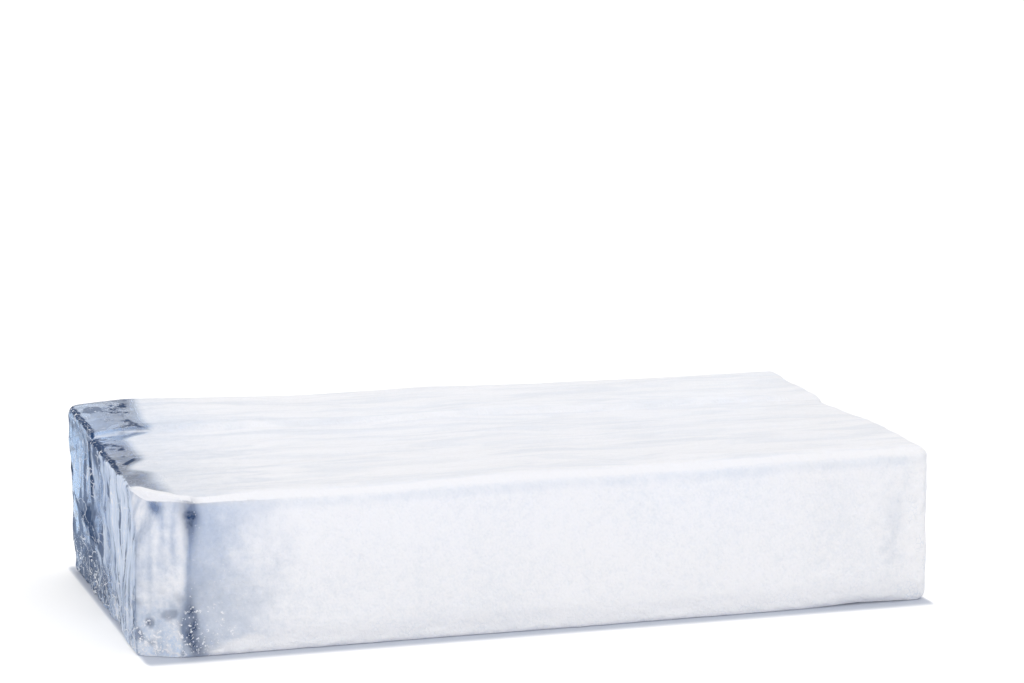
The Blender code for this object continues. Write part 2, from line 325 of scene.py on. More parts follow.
def end_melt(y, z, wander):
    """The clear end: flutes, flakes, runnels and dimples, and the chip beside its ridge.

    The chip's depth is a power of (1 less the square of chip_rim). Where it is deep, it takes the place
    of the flutes and flakes. Everything fades towards the corner and where the ridge stands proud.
    """
    leaning = y + FLUTES_LEAN * (z - HEIGHT / 2) + wander
    low_down = fall(z, *LOW_DOWN)
    flutes = scallops("end flutes", leaning, z)
    flakes = scallops("end flakes", leaning, z) * low_down
    chip = CHIP_DEPTH * np.clip(CHIP_FULLNESS * (1.0 - chip_rim(y, z) ** 2), 0.0, 1.0) ** CHIP_POWER
    chip *= rise(y - ridge_line(z), 0.0, RIDGE_WIDTH)
    chip *= 1.0 - 0.6 * rise(z, *CHIP_SHALLOWS)
    melted = np.maximum(flutes, flakes) * (1.0 - 0.7 * rise(z, *UNDER_THE_TOP))
    melted = np.maximum(melted * (1.0 - 0.75 * rise(chip, *CHIP_DEEP_ENOUGH)), chip)
    fine = scallops("end runnels", leaning + RUNNELS_LEAN * z, z)
    fine += scallops("end dimples", leaning, z) * low_down
    fade = rise(y - SMOOTHER_LOW_DOWN * low_down, *SMOOTH_NEAR_CORNER)
    proud = hump(y - ridge_line(z), PROUD_AT, PROUD_HALF) * rise(z, *PROUD_ABOVE)
    return (melted + fine * (1.0 - 0.3 * rise(chip, *CHIP_DEEP_ENOUGH))) * fade * (1.0 - 0.85 * proud)


print("flutes up to", BEDS["end flutes"][-1] * 1000, "mm deep, the chip", CHIP_DEPTH * 1000)

# %% The ledge, and the other faces
LEDGE_Y, LEDGE_DROP, LEDGE_RISE_OVER = 0.071, 0.0055, 0.006
LEDGE_WANDER, LEDGE_WAVELENGTH = 0.007, 0.22
FOOT, FAR_CORNER = (0.012, 0.030), (0.450, 0.492)


def ledge_line(x):
    """Where the ledge runs at each x: LEDGE_Y, wandering."""
    on_axis = np.column_stack((x, 0.0 * x, 0.0 * x))
    return LEDGE_Y + LEDGE_WANDER * ripples(on_axis, LEDGE_WAVELENGTH, seed=7)


def top_melt(x, y, wander):
    """The top: long streaks, fine scratches, and the step down in front of the ledge."""
    ledge_at = ledge_line(x)
    ledge = LEDGE_DROP * (0.5 - rise(y, ledge_at, ledge_at + LEDGE_RISE_OVER))
    return scallops("top streaks", x, y + 0.5 * wander) + scallops("top scratches", x, y + wander) + ledge


def side_melt(x, z, wander):
    """The front or the back: hollows, pits, crumbs and grains at the foot, the far corner's crystals."""
    crumbs = (scallops("foot crumbs", x, z) + scallops("foot grains", x + wander, z)) * fall(z, *FOOT)
    crystals = scallops("corner crystals", x + wander, z) * rise(x, *FAR_CORNER)
    return scallops("side hollows", x, z) + scallops("side pits", x + wander, z) + crumbs + crystals


def right_melt(y, z, wander):
    """The far end: wide bowls with small chips in them."""
    return scallops("right bowls", y + wander, z) + scallops("right chips", y + wander, z)


print("the ledge wanders over y", np.round([ledge_line(along).min(), ledge_line(along).max()], 4))

# %% Pushing the faces in
FADE = 0.045
WANDER, WANDER_WAVELENGTH = 0.010, 0.09
BROAD, BROAD_WAVELENGTH = 0.0012, 0.33


def melt_faces(points):
    """Every face goes straight in by its own melt, measured on the points before any of it.

    The melt is whole on the face and fades to nothing at FADE from it.
    """
    x, y, z = points.T
    wander = WANDER * ripples(points, WANDER_WAVELENGTH, seed=2)
    broad = BROAD * (1.0 + ripples(points, BROAD_WAVELENGTH, seed=5))
    faces = ((x + LENGTH / 2, X, 1.0, end_melt, y, z), (LENGTH / 2 - x, X, -1.0, right_melt, y, z),
             (y + DEPTH / 2, Y, 1.0, side_melt, x, z), (DEPTH / 2 - y, Y, -1.0, side_melt, x, z),
             (HEIGHT - z, Z, -1.0, top_melt, x, y))
    moved = points.copy()
    for distance, axis, way, melt, u, v in faces:
        near = distance < FADE
        depth = melt(u[near], v[near], wander[near]) + broad[near]
        moved[near, axis] += way * depth * fall(distance[near], 0.0, FADE)
    return moved


pushed = melt_faces(flattened)
deepest = np.abs(pushed - flattened).max(axis=0) * 1000
print("the faces go in by up to", np.round(deepest, 1), "mm along x, y, z")

# %% [markdown]
# ## Out of level, chipped, and standing flat
# The top slopes: it is highest at the back left. A bilinear stretch carries every layer of the block up
# with it, so the flutes lean with the block. Knocks at the edges leave dishes, which are balls that push
# the ice out of themselves. The underside has melted flat against what the block stands on.

# %% The top's slope
TOP_FRONT_LEFT, TOP_FRONT_RIGHT = 0.197, 0.206
TOP_BACK_LEFT, TOP_BACK_RIGHT = 0.226, 0.220


def settle_top(points):
    """z grows by the top's height over HEIGHT, the height being bilinear between the four corners."""
    x, y, z = points.T
    right = np.clip(x / LENGTH + 0.5, 0.0, 1.0)
    back = np.clip(y / DEPTH + 0.5, 0.0, 1.0)
    front_height = TOP_FRONT_LEFT + (TOP_FRONT_RIGHT - TOP_FRONT_LEFT) * right
    back_height = TOP_BACK_LEFT + (TOP_BACK_RIGHT - TOP_BACK_LEFT) * right
    top = front_height + (back_height - front_height) * back
    return np.column_stack((x, y, np.where(z > 0.0, z * top / HEIGHT, z)))


settled = settle_top(pushed)
print("highest point", settled[:, Z].max().round(4), "m")

# %% Knocks in the edges, and the flat base
EDGE_DISHES = (
    # a ball's middle and its radius
    ((0.5575, -0.300, 0.107), 0.0705),
    ((0.5650, 0.175, 0.243), 0.0850),
    ((0.2620, -0.295, 0.240), 0.0630),
    ((-0.1400, 0.299, 0.270), 0.0750),
    ((0.2900, 0.292, 0.264), 0.0670),
    ((-0.5510, 0.298, 0.060), 0.0700),
)


def knock_chips(points):
    """A point inside a dish's ball goes straight out to the ball's surface."""
    for middle, radius in EDGE_DISHES:
        away = points - np.array(middle)
        far = np.linalg.norm(away, axis=1, keepdims=True)
        points = np.where(far < radius, np.array(middle) + away * radius / far, points)
    return points


def fill_the_box(points):
    """Stretches the block a little sideways until it spans the packed solid's box, and stands it at 0."""
    low, high = points.min(axis=0)[:2], points.max(axis=0)[:2]
    cad = np.array((cad_low, cad_high))[:, :2]
    share = (points[:, :2] - low) / (high - low)
    return np.column_stack((cad[0] + share * (cad[1] - cad[0]), np.maximum(points[:, Z], 0.0)))


melted = fill_the_box(knock_chips(settled))
print("melted to", np.ptp(melted, axis=0).round(4), "m")

# %% [markdown]
# ## Where the ice is frosted
# The inside of the block is clear. What looks white is a skin: fine cracks and frost that scatter the
# light. It covers the front, the top, the back and the right end, and thins out towards the clear left
# end, which has only a milky wet film. It could be painted by hand, but it follows the block's forms, so
# each point gets numbers that are worked out from where it lies: sums of rises, falls and humps.

# %% Where each point lies
# From here on a pair is where a rise or a fall starts and ends, in metres.
FACET_EDGE = -0.446  # the x at which the front meets the cut corner
# How far from a face, in the box, a point stops belonging to it.
SOFT_BAND, TOP_BAND, CRISP_BAND = (0.002, 0.012), (0.002, 0.010), (0.001, 0.004)
CORNER_BAND, CORNER_TOP_BAND = (-0.001, 0.004), (0.0, 0.006)

x, y, z = melted.T
level = box_points[:, Z]
from_left, from_right = LENGTH / 2 + box_points[:, X], LENGTH / 2 - box_points[:, X]
from_front, from_back = DEPTH / 2 + box_points[:, Y], DEPTH / 2 - box_points[:, Y]
from_top = HEIGHT - level
past_corner = past_flat(rounded, "corner facet")[0]
past_corner = np.maximum(past_corner, past_flat(rounded, "corner facet, upper")[0])
corner_share = rise(past_corner, *CORNER_BAND) * rise(from_top, *CORNER_TOP_BAND)
near = {"front": fall(from_front, *SOFT_BAND), "back": fall(from_back, *SOFT_BAND),
        "right": fall(from_right, *SOFT_BAND), "left": fall(from_left, *CRISP_BAND),
        "top": fall(from_top, *TOP_BAND)}
near = {name: share * (1.0 - corner_share) for name, share in near.items()}
near["corner"] = corner_share
print("mean share of each face:", {name: round(float(share.mean()), 3) for name, share in near.items()})

# %% Waves that make the edges of the frost uneven
LONG_WAVE, SHORT_WAVE, CRYSTAL_SIZE = 0.07, 0.025, 0.012
UPRIGHT_WAVE, DRAWN_UPRIGHT = 0.016, (1.0, 1.0, 0.22)
SLOW_WAVE, DRAWN_TALL = 0.24, (1.0, 1.0, 0.45)
CRYSTALS_FROM = (0.462, 0.492)

wave = ripples(melted, LONG_WAVE, seed=61) + 0.6 * ripples(melted, SHORT_WAVE, seed=62)
upright_wave = ripples(melted * DRAWN_UPRIGHT, UPRIGHT_WAVE, seed=64)
slow_wave = ripples(melted * DRAWN_TALL, SLOW_WAVE, seed=63)
crystals = rise(ripples(melted, CRYSTAL_SIZE, seed=67), 0.0, 0.9)
crystals *= rise(x + 0.008 * wave, *CRYSTALS_FROM)
print("the waves' greatest height:", np.abs((wave, upright_wave, slow_wave)).max(axis=1).round(2))

# %% [markdown]
# ### The white sides
# The front is thinly frosted beside the cut corner and fully from a third of the way along. The back and
# the right end have a clearer, bluish core where the frost is thin, as ice that froze from outside in.

# %% Frost on the front, the back and the right end
FRONT_THICKENS, FRONT_WHITENS = (FACET_EDGE - 0.01, -0.29), (-0.36, 0.0)
CRUST, CRUST_FROM = (0.010, 0.024), (-0.43, -0.38)

ragged_x = x + 0.010 * wave
crust = fall(z + 0.003 * wave, *CRUST) * rise(x, *CRUST_FROM)
clearer_patch = hump(ragged_x, 0.448, 0.036) * hump(z, 0.100, 0.080)
frost_on_front = 0.52 + 0.38 * rise(ragged_x, *FRONT_THICKENS) + 0.12 * rise(x, *FRONT_WHITENS)
frost_on_front += 0.30 * crust - 0.26 * clearer_patch - 0.13 * crystals

core_of_back = hump(z, 0.095, 0.060) * fall(x, 0.400, 0.500)
clear_side_of_back = fall(x + 0.012 * wave, -0.48, -0.41)
frost_on_back = 0.91 + 0.045 * slow_wave + 0.010 * wave + 0.022 * upright_wave
frost_on_back -= 0.27 * core_of_back + 0.44 * clear_side_of_back

core_of_right = hump(y, 0.02, 0.17) * hump(z, 0.105, 0.065)
frost_on_right = 0.92 + 0.045 * slow_wave + 0.010 * wave + 0.030 * upright_wave - 0.34 * core_of_right
print("frost on the front from", frost_on_front.min().round(2), "to", frost_on_front.max().round(2))

# %% [markdown]
# ### The top, the clear end and the cut corner
# A strip along the top's clear end stays dark and wet, and reaches farther behind the ledge; part of its
# dark is painted dark. A band of thinner frost just behind the ledge stands in for the ledge's shadow.
# The clear end has a thin film, milkier towards the front. The cut corner is cloudy, with one clear spot.

# %% Frost on the top, the clear end and the corner
LEDGE_BAND = (0.055, 0.085)

behind_ledge = rise(y, *LEDGE_BAND)
clear_until = -0.478 + 0.034 * behind_ledge + 0.010 * rise(y, 0.10, 0.24) + 0.004 * wave
clear_until -= 0.022 * hump(y, -0.085, 0.022)
past_clear = x - clear_until
film = 0.16 + 0.36 * fall(y - 0.004 * wave, -0.140, -0.085)
frost_on_top = film + (1.0 - film) * rise(past_clear + 0.003 * wave, -0.004, 0.026)
frost_on_top -= (0.26 + 0.04 * behind_ledge) * fall(x, -0.47, -0.20)
# Thinner frost in a band behind the ledge, standing in for its shadow.
frost_on_top -= 0.10 * hump(y - ledge_line(x), 0.018, 0.013) * fall(x, -0.30, 0.30)

frost_on_left = 0.06 + 0.38 * fall(y, 0.065, 0.085) + 0.40 * fall(y, -0.08, 0.02)
frost_on_left *= 1.0 - 0.30 * fall(z, 0.045, 0.085)
frost_on_left += 0.14 * rise(y, 0.17, 0.23) + 0.05 * wave

over_facet = np.clip((x + LENGTH / 2) / (FACET_EDGE + LENGTH / 2), 0.0, 1.0)
cloud_on_facet = rise(over_facet, -0.10, 0.25) * fall(over_facet, 0.84, 1.05)
cloud_on_facet *= 0.55 + 0.45 * rise(z + 0.016 * upright_wave, 0.030, 0.120)
clear_spot = hump(over_facet, 0.42, 0.09) * hump(z, 0.176, 0.009)
frost_on_corner = 0.60 + 0.08 * cloud_on_facet + 0.06 * upright_wave - 0.46 * clear_spot
print("the clear strip reaches x", clear_until.min().round(3), "to", clear_until.max().round(3))

# %% The faces' frost together
BETWEEN_FACES = 0.2

frost = np.full(len(melted), BETWEEN_FACES)
for on_face, name in ((frost_on_front, "front"), (frost_on_back, "back"), (frost_on_top, "top"),
                      (frost_on_left, "left"), (frost_on_right, "right"), (frost_on_corner, "corner")):
    frost = frost + (on_face - frost) * near[name]
frost = np.clip(frost, 0.0, 1.0)
print("mean frost", frost.mean().round(3))

# %% [markdown]
# ### Painted highlights and rime
# The brightest white is a painted highlight along the front top edge and round the lip over the cut
# corner, and a thin one along the ledge. The loose crystals at the foot of the front are rime.

# %% Painted highlights along the front top edge and the ledge, and rime at the foot
HIGHLIGHT_BAND, RIME_FOOT = (0.0065, 0.0105), (0.008, 0.020)

side = np.maximum(np.minimum(-past_corner, from_front), 0.0)
from_front_edge = np.hypot(side, HEIGHT - rounded[:, Z])
# Painted highlights: a band along the rounded front top edge and the lip, and a thin line along the
# ledge.
edge_highlight = fall(from_front_edge + 0.0010 * wave, *HIGHLIGHT_BAND) * fall(y, -0.175, -0.150)
ledge_highlight = near["top"] * hump(y - ledge_line(x), 0.001, 0.003) * fall(x, -0.44, -0.36)
foot = fall(z + 0.004 * wave, *RIME_FOOT) * fall(y, -0.245, -0.235) * rise(x, -0.47, -0.40)
loose = 0.5 + 0.5 * rise(ripples(melted, 0.016, seed=65), -0.5, 0.8)
rime = np.clip(edge_highlight + 0.75 * ledge_highlight + foot * loose, 0.0, 1.0)
print("points in rime:", int((rime > 0.5).sum()))

# %% [markdown]
# ### Painted dark
# Where a crack or a crease turns the surface steeply, clear ice shows the dark that it bends in. Here
# that dark is painted into the colour, as a painted dark reflection: in the line beside the cut corner,
# in spots at its foot, along the clear end's top edge, behind the ridge.

# %% Painted dark beside the corner and in it
DARK_BESIDE_CORNER_X = FACET_EDGE + 0.001

# Painted dark: a line where the front meets the cut corner, and a patch at its foot.
dark_beside_corner = hump(x + 0.0025 * wave, DARK_BESIDE_CORNER_X, 0.006 + 0.004 * rise(z, 0.10, 0.17))
dark_beside_corner *= 0.12 + 0.88 * np.maximum(hump(z, 0.165, 0.026), hump(z, 0.045, 0.026))
low_patch = hump(x + 0.006 * wave, DARK_BESIDE_CORNER_X + 0.25 * (0.030 - z), 0.016) * hump(z, 0.026, 0.026)
dark_beside_corner = np.clip(dark_beside_corner + low_patch, 0.0, 1.0) * (near["front"] + near["corner"])
# Painted dark spots low on the cut corner.
dark_spots = rise(ripples(melted, 0.021, seed=66), 0.40, 1.1) * fall(z, 0.035, 0.095) * near["corner"]
print("mean fold", dark_beside_corner.mean().round(4), "and pockets", dark_spots.mean().round(4))

# %% Painted dark on the clear end and its top edge
# Painted dark along the clear end's top and back edges, under its top, low down, and at the chip's rim
# and the ridge, which the mesh has.
from_left_edge = np.hypot(rounded[:, X] + LENGTH / 2, rounded[:, Z] - HEIGHT)
rim = hump(from_left_edge, 0.0026, 0.0031) * rise(y + 0.01 * wave, -0.17, 0.0)
far_edge = near["left"] * rise(y, 0.225, 0.245)
in_chip = 1.0 - chip_rim(y, level) + 0.02 * wave
behind_ridge = rise(y - ridge_line(level), 0.002, 0.008)
dark_at_crack = hump(in_chip, 0.0, 0.034) * behind_ridge * fall(level, 0.115, 0.150)
patch = rise(in_chip, 0.0, 0.05) * behind_ridge * fall(level, 0.098, 0.118) * fall(y, 0.125, 0.185)
dark_at_ridge = hump(y + 0.002 * wave, ridge_line(level) - 0.004, 0.0095) * rise(level, 0.055, 0.075)
dark_low_by_ridge = hump(y + 0.006 * wave, ridge_line(level) - 0.030, 0.020) * hump(level, 0.045, 0.030)
low_end = (0.20 + 0.30 * rise(y, 0.0, 0.12)) * fall(level, 0.045, 0.085)
under_rim = hump(from_top, 0.018, 0.015) * hump(y + 0.003 * wave, 0.030, 0.045)
on_end = dark_at_crack + 0.75 * patch + dark_at_ridge + 0.5 * dark_low_by_ridge + low_end + 0.55 * under_rim
on_end = np.clip(on_end + 0.25 * behind_ridge * fall(y, 0.20, 0.25), 0.0, 1.0)
# Painted dark on the top's clear strip and in a band at its edge.
strip = 0.72 * fall(past_clear, -0.006, 0.018) + 0.30 * hump(past_clear, 0.004, 0.006)
strip *= near["top"] * rise(y + 0.004 * wave, -0.150, -0.080)
# Every painted dark mark together.
dark = 0.9 * dark_beside_corner + 0.60 * dark_spots + rim + 0.7 * far_edge + near["left"] * on_end + strip
dark = np.clip(dark, 0.0, 1.0)
print("points in dark folds:", int((dark > 0.5).sum()))

# %% [markdown]
# ### Bubbles and crumbs
# ### Bubbles, painted glints and crumbs
# Air that the freezing pushed out lies as small bubbles, most of them low in the clear end and at the
# corner's foot. Painted glints join them towards the back of the top's clear strip. Along the foot, and
# at the front's far corner, the ice has gone to loose crystals.

# %% Bubbles, painted glints and crumbs
low_down = fall(z, 0.010, 0.085)
from_top_edge = np.hypot(x + LENGTH / 2, from_top)
beads = 0.34 * hump(from_top_edge, 0.006, 0.008) * rise(y, -0.10, 0.0)
# Painted glints on the top's clear strip, shown as white specks.
glints = 0.48 * near["top"] * fall(past_clear, -0.008, 0.004) * rise(y, -0.05, 0.10)
on_front = fall(x, -0.42, -0.26) * (0.46 + 0.34 * low_down) + 0.5 * rise(x, 0.43, 0.49)
bubbles = near["corner"] * (0.05 + 0.95 * low_down) + near["front"] * on_front
bubbles += near["left"] * (0.30 + 0.6 * low_down) + np.maximum(beads, glints)
bubbles = np.clip(bubbles, 0.0, 1.0)

crumbly = 0.6 * fall(z + 0.005 * wave, 0.012, 0.030) * (near["front"] + near["back"])
crumbly += near["front"] * rise(ragged_x, 0.452, 0.490) + 0.5 * near["corner"] * fall(z, 0.008, 0.020)
crumbly = np.clip(crumbly, 0.0, 1.0)
print("mean bubbles", bubbles.mean().round(3), "and crumbs", crumbly.mean().round(3))

# %% The nine numbers of each point
FRONT_ONLY_FROM = -0.43

under_front_edge = near["front"] * (x > FRONT_ONLY_FROM) > 0.5
looks = {"frost": frost, "rime": rime, "dark": dark, "bubbles": bubbles, "crumbly": crumbly,
         "top": near["top"], "fluted": near["left"] * (1.0 - rime), "corner": near["corner"],
         "below": np.where(under_front_edge, from_top, 1.0)}
print({name: round(float(values.mean()), 3) for name, values in looks.items()})

# %% [markdown]
# ## The mesh
# The quads of the five upper faces share their edge points, and one flat polygon closes the base. The
# nine numbers go onto the points as attributes, which the material reads, so nothing has to be unwrapped.

# %% The mesh
def base_rim():
    """The numbers of the points round the base, clockwise from above, so that the base faces down."""
    on_base = {tuple(key): number for number, key in enumerate(lattice.tolist()) if key[Z] == 0}
    front = [(i, 0, 0) for i in range(CELLS_LONG)]
    right = [(CELLS_LONG, j, 0) for j in range(CELLS_DEEP)]
    back = [(i, CELLS_DEEP, 0) for i in range(CELLS_LONG, 0, -1)]
    left = [(0, j, 0) for j in range(CELLS_DEEP, 0, -1)]
    return [on_base[key] for key in front + right + back + left][::-1]


mesh = bpy.data.meshes.new("ice block")
mesh.from_pydata(melted.tolist(), [], quads.tolist() + [base_rim()])
mesh.update()
mesh.shade_smooth()
mesh.polygons[-1].use_smooth = False
for name, values in looks.items():
    attribute = mesh.attributes.new(name, "FLOAT", "POINT")
    attribute.data.foreach_set("value", values.astype(np.float32))
block = bpy.data.objects.new("melted_block", mesh)
scene.collection.objects.link(block)
mesh.calc_loop_triangles()
print(len(mesh.loop_triangles), "triangles")

# %% [markdown]
# ## Node sums as Python sums
# A material is a sum of masks. Its nodes could be linked one by one, but sums are easier to read. Wrapped
# in a small class, a socket can be added, multiplied and raised to a power like a number, and each
# operator adds the Math node that it stands for.

# %% The wire
class Wire:
    """A value on its way between nodes. Its operators add Math nodes to the same tree."""

    def __init__(self, sheet, socket):
        self.sheet, self.socket = sheet, socket

    def math(self, operation, *values, clamp=False):
        settings = {"operation": operation, "use_clamp": clamp}
        return self.sheet.node("ShaderNodeMath", settings, dict(enumerate(values)))

    def other_output(self, name):
        """Another output of the node that this value comes from."""
        return Wire(self.sheet, self.socket.node.outputs[name])

    def __add__(self, other):
        return self.math("ADD", self, other)

    def __sub__(self, other):
        return self.math("SUBTRACT", self, other)

    def __rsub__(self, other):
        return self.math("SUBTRACT", other, self)

    def __mul__(self, other):
        return self.math("MULTIPLY", self, other)

    def __pow__(self, other):
        return self.math("POWER", self, other)

    __radd__ = __add__
    __rmul__ = __mul__

    def clamped(self):
        return self.math("ADD", self, 0.0, clamp=True)

    def most(self, other):
        return self.math("MAXIMUM", self, other)

    def step(self, start, end):
        """0 below start, 1 above end, smooth between them; start may be the larger."""
        settings = {"interpolation_type": "SMOOTHSTEP", "clamp": True}
        ends = {"From Min": start, "From Max": end}
        return self.sheet.node("ShaderNodeMapRange", settings, {"Value": self, **ends})


print("a wire has", len(vars(Wire)), "names")

# %% The sheet that nodes are written on
class Sheet:
    """A node tree that is written top down: every node comes from node()."""

    def __init__(self, tree):
        self.tree = tree
        tree.nodes.clear()

    def node(self, kind, settings=None, sockets=None, out=0):
        made = self.tree.nodes.new(kind)
        for name, value in (settings or {}).items():
            setattr(made, name, value)
        for name, value in (sockets or {}).items():
            if isinstance(value, Wire):
                self.tree.links.new(value.socket, made.inputs[name])
            else:
                made.inputs[name].default_value = value
        return Wire(self, made.outputs[out]) if len(made.outputs) else made

    def noise(self, where, scale, detail=2.0, roughness=0.55, distortion=0.0):
        amounts = {"Scale": scale, "Detail": detail, "Roughness": roughness, "Distortion": distortion}
        return self.node("ShaderNodeTexNoise", {}, {"Vector": where, **amounts}, out="Fac")

    def cells(self, where, scale, feature="F1", out="Distance"):
        settings, sockets = {"feature": feature}, {"Vector": where, "Scale": scale}
        return self.node("ShaderNodeTexVoronoi", settings, sockets, out)

    def warped(self, where, scale, amount):
        """where, moved by up to half of amount along each axis by a noise."""
        sockets = {"Vector": where, "Scale": scale, "Detail": 2.0}
        push = self.node("ShaderNodeTexNoise", {}, sockets, out="Color")
        settings = {"operation": "MULTIPLY_ADD"}
        return self.node("ShaderNodeVectorMath", settings, {0: push, 1: (amount,) * 3, 2: where})

    def stretched(self, where, scale):
        return self.node("ShaderNodeVectorMath", {"operation": "MULTIPLY"}, {0: where, 1: scale})

    def blend(self, share, first, second):
        return self.node("ShaderNodeMix", {"data_type": "RGBA"}, {0: share, 6: first, 7: second}, out=2)

    def bump(self, height, strength, distance):
        sockets = {"Strength": strength, "Distance": distance, "Height": height}
        return self.node("ShaderNodeBump", {}, sockets, out="Normal")


print("a sheet can", [name for name in vars(Sheet) if not name.startswith("_")])

# %% [markdown]
# ## Ice
# Ice bends light a little less than water does, and only a long way through it shows its blue. So the
# clear part is a fully transmitting shader with an index of 1.31, and a faint blue absorption fills the
# block. The frosted skin is a second, white and rough shader, and a mask mixes the two: the frost on the
# mesh, broken up by noise at the sizes of clouds, streaks and crystals. An image texture could show the
# same marks, but it would have to be unwrapped and would blur close up.

# %% Ice, in numbers
ICE_INDEX = 1.31
DEEP_BLUE, BLUE_DENSITY = (0.20, 0.43, 0.74, 1.0), 2.4
CLEAR_TINT, END_TINT = (0.99, 0.995, 1.0, 1.0), (0.70, 0.86, 1.0, 1.0)
# Painted dark, for the dark that clear ice reflects and bends: one for clear ice, one for the skin.
CLEAR_PAINTED_DARK, SKIN_PAINTED_DARK = (0.10, 0.20, 0.40, 1.0), (0.014, 0.038, 0.100, 1.0)
SHADED_FROST, BRIGHT_FROST = (0.88, 0.89, 0.92, 1.0), (0.98, 0.970, 0.978, 1.0)
THIN_FROST, EDGE_SHADE = (0.79, 0.86, 0.96, 1.0), (0.66, 0.72, 0.81, 1.0)
END_MILK, LOW_BLUE = (0.70, 0.78, 0.91, 1.0), (0.62, 0.77, 0.98, 1.0)
after_1_m = [round(math.exp(-BLUE_DENSITY * (1.0 - share)), 2) for share in DEEP_BLUE[:3]]
print("light left after 1 m, red, green and blue:", after_1_m)

# %% The sizes of its patterns
# Cells of noise per metre.
CLOUD, GAPS, STIPPLE, GRAIN = 9.0, 28.0, 80.0, 300.0
RIBS, DRIPS, CRINKLES, STREAKS = 46.0, 60.0, 78.0, 34.0
BOWLS, FACETS, CRUMBS, FLECKS = 60.0, 34.0, 170.0, 280.0
# A pattern is drawn out along an axis by a share under 1: the runs upwards, the streaks along the block.
RIBS_DRAWN, DRIPS_DRAWN, CRINKLES_DRAWN = (1.0, 0.8, 0.24), (1.0, 1.0, 0.18), (1.0, 0.9, 0.60)
STREAKS_DRAWN, BOWLS_DRAWN, FLECKS_DRAWN = (0.20, 1.0, 1.0), (1.0, 0.5, 1.0), (1.0, 1.0, 0.7)
BOWL_WARP = (50.0, 0.016)
print("from clouds of", round(1000 / CLOUD), "mm to grains of", round(1000 / GRAIN), "mm")

# %% The tree, the mesh's numbers and the plain patterns
material = bpy.data.materials.new("ice, clear and frosted")
material.use_nodes = True
ice = Sheet(material.node_tree)
where = ice.node("ShaderNodeTexCoord", out="Object")
on = {name: ice.node("ShaderNodeAttribute", {"attribute_name": name}, out="Fac") for name in looks}
on = SimpleNamespace(**on)

cloud = ice.noise(where, CLOUD)
gaps = ice.noise(where, GAPS, detail=3.0)
stipple = ice.noise(where, STIPPLE, detail=4.0, roughness=0.7)
grain = ice.noise(where, GRAIN)
ribs = ice.noise(ice.stretched(where, RIBS_DRAWN), RIBS, detail=4.0, distortion=0.4)
drips = ice.noise(ice.stretched(where, DRIPS_DRAWN), DRIPS)
crinkles = ice.noise(ice.stretched(where, CRINKLES_DRAWN), CRINKLES)
streaks = ice.noise(ice.stretched(where, STREAKS_DRAWN), STREAKS, detail=4.0, distortion=0.8)
bent = ice.warped(ice.stretched(where, BOWLS_DRAWN), *BOWL_WARP)
bowl = ice.cells(bent, BOWLS)
crest = ice.cells(bent, BOWLS, "DISTANCE_TO_EDGE")
facets = ice.cells(where, FACETS, out="Color")
crumbs = ice.cells(where, CRUMBS, "DISTANCE_TO_EDGE")
print(len(ice.tree.nodes), "nodes of patterns")

# %% [markdown]
# ### Marks of the clear end
# Water ran down the clear end in thin streams and left ribs. Paint that is paler on the ribs and darker
# between them, in lines too, is a painted highlight and painted shade of their relief. Lower down the
# ribs break up into crinkles, with glinting bubbles and painted highlights along crests. A line is a
# thin band of a noise: the square of (the noise less a level, times a large number), where that is under
# 1.

# %% Flecks, chips, runs, and the painted highlights and shade on them
LINE_THINNESS, PALE_LINE, DARK_LINE = 42.0, 0.53, 0.43


def line_where(pattern, level):
    """1 on the line where pattern is at level, 0 beside it."""
    return (((pattern - level) * LINE_THINNESS) ** 2.0).step(1.0, 0.0)


crinkled = on.bubbles.step(0.32, 0.62) * on.fluted * 0.75
runs = ribs * (1.0 - crinkled) + crinkles * crinkled
flecks = ice.cells(ice.stretched(where, FLECKS_DRAWN), FLECKS).step(0.24, 0.12)
flecks = flecks * (gaps + on.bubbles * 0.40).step(0.66, 0.80)
chips = (stipple * 0.45 + grain * 0.55 + on.bubbles * 0.10).step(0.64, 0.69) * on.bubbles.step(0.30, 0.60)
# Painted highlights along the crests of the bowls.
crest_highlights = crest.step(0.050, 0.010) * gaps.step(0.44, 0.56) * on.fluted * (on.bubbles * 1.5).clamped()
# Painted highlights on the ribs, and painted shade between them and in thin lines.
lit_runs = runs.step(0.58, 0.68) * on.fluted
rib_highlight_lines = line_where(runs, PALE_LINE) * on.fluted * drips.step(0.44, 0.58) * on.dark.step(0.7, 0.3)
rib_shade_lines = line_where(runs, DARK_LINE) * on.fluted * drips.step(0.56, 0.44)
shade_between_runs = (on.dark * 0.30 - runs + 0.5).step(0.08, 0.18) * on.fluted
print(len(ice.tree.nodes), "nodes with the clear end's marks")

# %% Painted shade in the hollows under the front edge and between crumbs
sunk = on.below + (cloud - 0.5) * 0.016
# Painted shade: a band under the front top edge, and lines between the crumbs at the foot.
shade_under_edge = sunk.step(0.0060, 0.0140) * sunk.step(0.0340, 0.0180) * (gaps * 1.4 - 0.1)
shade_between_crumbs = crumbs.step(0.09, 0.01) * on.crumbly * gaps.step(0.46, 0.60)
painted_hollow_shade = (shade_under_edge * 0.40).most(shade_between_crumbs * 0.50).clamped()
print(len(ice.tree.nodes), "nodes with the hollows")

# %% [markdown]
# ### How much skin
# The mesh's frost, made uneven by the patterns, says how much white skin covers the clear ice. The
# painted dark and the bright marks, painted highlights among them, are in the skin too, because only a
# skin can be darker or brighter than what lies behind clear ice.

